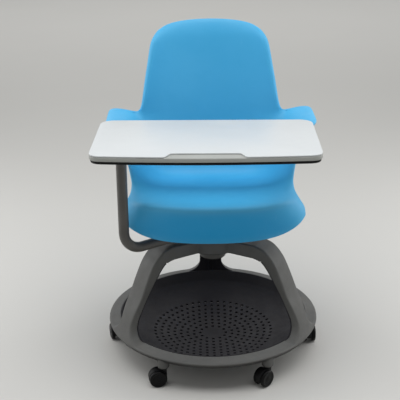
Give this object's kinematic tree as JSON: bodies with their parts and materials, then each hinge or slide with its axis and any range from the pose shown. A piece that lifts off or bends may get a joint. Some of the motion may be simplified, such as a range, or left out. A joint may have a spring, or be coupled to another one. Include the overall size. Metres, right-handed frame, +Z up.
{
  "type": "student desk chair",
  "caption": "Swivel student chair with a moulded winged seat shell, a worksurface on a swinging arm, and a legged ring base with a bag tray and casters.",
  "frame": {"origin": "on the floor, under the middle of the chair's box; the swivel axis stands at x 3.53 mm, y 3.95 mm", "axes": "+Z up, the chair faces -Y, the arm and post are on the -X side at rest"},
  "size_m": [0.572, 0.5728, 0.8403],
  "materials": {
    "seat_blue": "fine-textured sky-blue polypropylene",
    "base_grey": "fine-textured mid-grey moulding",
    "tray_charcoal": "satin charcoal moulding",
    "black_plastic": "satin black",
    "caster_tread": "hard black wheel, lightly worn",
    "bright_steel": "zinc plated",
    "bearing_plastic": "natural acetal",
    "arm_paint": "dark grey powder coat",
    "black_paint": "black powder coat",
    "board_white": "satin white laminate",
    "rim_grey": "light grey moulded rim"
  },
  "bodies": {
    "base": {"base_frame": "base_grey", "storage_tray": "tray_charcoal", "leg_liner_front_left": "tray_charcoal", "leg_liner_front_right": "tray_charcoal", "leg_liner_rear": "tray_charcoal", "tray_screw_front_left": "bright_steel", "tray_screw_front_right": "bright_steel", "tray_screw_rear": "bright_steel", "hub_bush_upper": "bearing_plastic", "hub_bush_lower": "bearing_plastic", "hub_cap": "base_grey", "caster_right_stem": "bright_steel", "caster_rear_right_stem": "bright_steel", "caster_rear_left_stem": "bright_steel", "caster_left_stem": "bright_steel", "caster_front_left_stem": "bright_steel", "caster_front_right_stem": "bright_steel"},
    "seat": {"seat_shell": "seat_blue", "seat_carrier": "black_plastic", "swivel_spindle": "bright_steel", "spindle_clip": "bright_steel", "arm_friction_washer": "bearing_plastic", "seat_screw_1": "bright_steel", "seat_screw_2": "bright_steel", "seat_screw_3": "bright_steel", "seat_screw_4": "bright_steel"},
    "arm": {"arm": "arm_paint", "post_sleeve": "bearing_plastic"},
    "worksurface": {"worksurface_top": "board_white", "worksurface_rim": "rim_grey", "worksurface_underplate": "black_plastic", "pivot_bracket": "black_paint", "pivot_pin": "bright_steel"},
    "caster_right": {"caster_right_hood": "black_plastic", "caster_right_axle": "bright_steel"},
    "caster_right_wheel_a": {"caster_right_wheel_a": "caster_tread"},
    "caster_right_wheel_b": {"caster_right_wheel_b": "caster_tread"},
    "caster_rear_right": {"caster_rear_right_hood": "black_plastic", "caster_rear_right_axle": "bright_steel"},
    "caster_rear_right_wheel_a": {"caster_rear_right_wheel_a": "caster_tread"},
    "caster_rear_right_wheel_b": {"caster_rear_right_wheel_b": "caster_tread"},
    "caster_rear_left": {"caster_rear_left_hood": "black_plastic", "caster_rear_left_axle": "bright_steel"},
    "caster_rear_left_wheel_a": {"caster_rear_left_wheel_a": "caster_tread"},
    "caster_rear_left_wheel_b": {"caster_rear_left_wheel_b": "caster_tread"},
    "caster_left": {"caster_left_hood": "black_plastic", "caster_left_axle": "bright_steel"},
    "caster_left_wheel_a": {"caster_left_wheel_a": "caster_tread"},
    "caster_left_wheel_b": {"caster_left_wheel_b": "caster_tread"},
    "caster_front_left": {"caster_front_left_hood": "black_plastic", "caster_front_left_axle": "bright_steel"},
    "caster_front_left_wheel_a": {"caster_front_left_wheel_a": "caster_tread"},
    "caster_front_left_wheel_b": {"caster_front_left_wheel_b": "caster_tread"},
    "caster_front_right": {"caster_front_right_hood": "black_plastic", "caster_front_right_axle": "bright_steel"},
    "caster_front_right_wheel_a": {"caster_front_right_wheel_a": "caster_tread"},
    "caster_front_right_wheel_b": {"caster_front_right_wheel_b": "caster_tread"}
  },
  "joints": [
    {"name": "seat_swivel", "type": "hinge", "parent": "base", "child": "seat", "pos_m": [0.00353, 0.00395, 0.353], "axis": [0, 0, 1], "continuous": true},
    {"name": "arm_swing", "type": "hinge", "parent": "seat", "child": "arm", "pos_m": [0.00353, 0.00395, 0.338], "axis": [0, 0, 1], "range_deg": [-20, 30]},
    {"name": "worksurface_pivot", "type": "hinge", "parent": "arm", "child": "worksurface", "pos_m": [-0.21954, -0.14994, 0.591], "axis": [0, 0, 1], "range_deg": [-90, 10]},
    {"name": "caster_right_swivel", "type": "hinge", "parent": "base", "child": "caster_right", "pos_m": [0.26753, 0.00395, 0.045], "axis": [0, 0, 1], "continuous": true},
    {"name": "caster_right_spin_a", "type": "hinge", "parent": "caster_right", "child": "caster_right_wheel_a", "pos_m": [0.26753, -0.01105, 0.0225], "axis": [1, 0, 0], "continuous": true},
    {"name": "caster_right_spin_b", "type": "hinge", "parent": "caster_right", "child": "caster_right_wheel_b", "pos_m": [0.26753, -0.01105, 0.0225], "axis": [1, 0, 0], "continuous": true},
    {"name": "caster_rear_right_swivel", "type": "hinge", "parent": "base", "child": "caster_rear_right", "pos_m": [0.13553, 0.23258, 0.045], "axis": [0, 0, 1], "continuous": true},
    {"name": "caster_rear_right_spin_a", "type": "hinge", "parent": "caster_rear_right", "child": "caster_rear_right_wheel_a", "pos_m": [0.12254, 0.24008, 0.0225], "axis": [-0.5, -0.866, 0], "continuous": true},
    {"name": "caster_rear_right_spin_b", "type": "hinge", "parent": "caster_rear_right", "child": "caster_rear_right_wheel_b", "pos_m": [0.12254, 0.24008, 0.0225], "axis": [-0.5, -0.866, 0], "continuous": true},
    {"name": "caster_rear_left_swivel", "type": "hinge", "parent": "base", "child": "caster_rear_left", "pos_m": [-0.12847, 0.23258, 0.045], "axis": [0, 0, 1], "continuous": true},
    {"name": "caster_rear_left_spin_a", "type": "hinge", "parent": "caster_rear_left", "child": "caster_rear_left_wheel_a", "pos_m": [-0.11618, 0.24118, 0.0225], "axis": [-0.5736, 0.8192, 0], "continuous": true},
    {"name": "caster_rear_left_spin_b", "type": "hinge", "parent": "caster_rear_left", "child": "caster_rear_left_wheel_b", "pos_m": [-0.11618, 0.24118, 0.0225], "axis": [-0.5736, 0.8192, 0], "continuous": true},
    {"name": "caster_left_swivel", "type": "hinge", "parent": "base", "child": "caster_left", "pos_m": [-0.26047, 0.00395, 0.045], "axis": [0, 0, 1], "continuous": true},
    {"name": "caster_left_spin_a", "type": "hinge", "parent": "caster_left", "child": "caster_left_wheel_a", "pos_m": [-0.26435, 0.01844, 0.0225], "axis": [-0.9659, -0.2588, 0], "continuous": true},
    {"name": "caster_left_spin_b", "type": "hinge", "parent": "caster_left", "child": "caster_left_wheel_b", "pos_m": [-0.26435, 0.01844, 0.0225], "axis": [-0.9659, -0.2588, 0], "continuous": true},
    {"name": "caster_front_left_swivel", "type": "hinge", "parent": "base", "child": "caster_front_left", "pos_m": [-0.12847, -0.22468, 0.045], "axis": [0, 0, 1], "continuous": true},
    {"name": "caster_front_left_spin_a", "type": "hinge", "parent": "caster_front_left", "child": "caster_front_left_wheel_a", "pos_m": [-0.14314, -0.2278, 0.0225], "axis": [0.2079, -0.9781, 0], "continuous": true},
    {"name": "caster_front_left_spin_b", "type": "hinge", "parent": "caster_front_left", "child": "caster_front_left_wheel_b", "pos_m": [-0.14314, -0.2278, 0.0225], "axis": [0.2079, -0.9781, 0], "continuous": true},
    {"name": "caster_front_right_swivel", "type": "hinge", "parent": "base", "child": "caster_front_right", "pos_m": [0.13553, -0.22468, 0.045], "axis": [0, 0, 1], "continuous": true},
    {"name": "caster_front_right_spin_a", "type": "hinge", "parent": "caster_front_right", "child": "caster_front_right_wheel_a", "pos_m": [0.12493, -0.23529, 0.0225], "axis": [0.7071, -0.7071, 0], "continuous": true},
    {"name": "caster_front_right_spin_b", "type": "hinge", "parent": "caster_front_right", "child": "caster_front_right_wheel_b", "pos_m": [0.12493, -0.23529, 0.0225], "axis": [0.7071, -0.7071, 0], "continuous": true}
  ]
}
